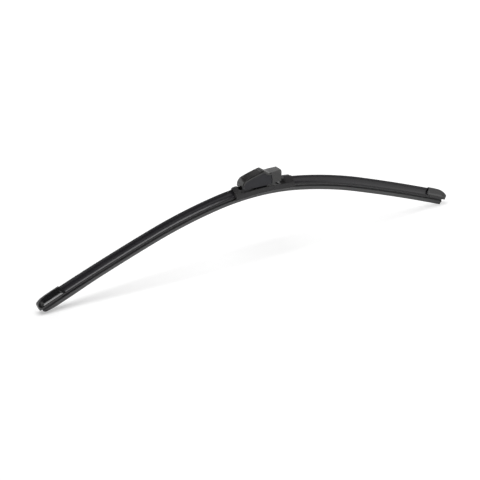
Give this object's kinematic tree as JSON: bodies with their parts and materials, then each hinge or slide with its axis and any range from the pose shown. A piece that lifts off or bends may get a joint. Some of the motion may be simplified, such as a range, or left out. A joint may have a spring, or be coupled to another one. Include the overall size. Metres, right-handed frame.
{
  "type": "wiper blade",
  "caption": "Arched beam wiper blade: rubber lip under a hollow-faced spoiler, capped ends, and a swivelling middle adapter with a flip-up cover for a hook-ended wiper arm.",
  "frame": {"origin": "on the axis of the barrel that the arm's hook goes round, in the middle of its width", "axes": "+X along the blade, away from the adapter's nose, +Z away from the glass, and the spoiler's hollow face looks towards -Y"},
  "size_m": [0.5878, 0.0168, 0.115],
  "materials": {
    "rubber": "matt",
    "spoiler": "satin",
    "cap_plastic": "satin",
    "connector_plastic": "satin",
    "adapter_plastic": "matt",
    "cover_plastic": "satin",
    "spring_steel": "satin",
    "black_steel": "satin black coat",
    "rivet_steel": "satin"
  },
  "bodies": {
    "adapter": {"adapter_body": "adapter_plastic"},
    "blade": {"wiper_rubber": "rubber", "rail_front": "spring_steel", "rail_rear": "spring_steel", "spoiler_left": "spoiler", "spoiler_right": "spoiler", "end_cap_left": "cap_plastic", "end_cap_right": "cap_plastic", "rail_bracket": "black_steel", "pivot_rivet": "rivet_steel", "connector_cover": "connector_plastic"},
    "cover": {"adapter_cover": "cover_plastic"}
  },
  "joints": [
    {"name": "blade_pivot", "type": "hinge", "parent": "adapter", "child": "blade", "pos_m": [0, 0, 0], "axis": [0, 1, 0], "range_deg": [-8, 8]},
    {"name": "cover_flip", "type": "hinge", "parent": "adapter", "child": "cover", "pos_m": [-0.0256, 0, -0.0026], "axis": [0, -1, 0], "range_deg": [0, 45]}
  ]
}
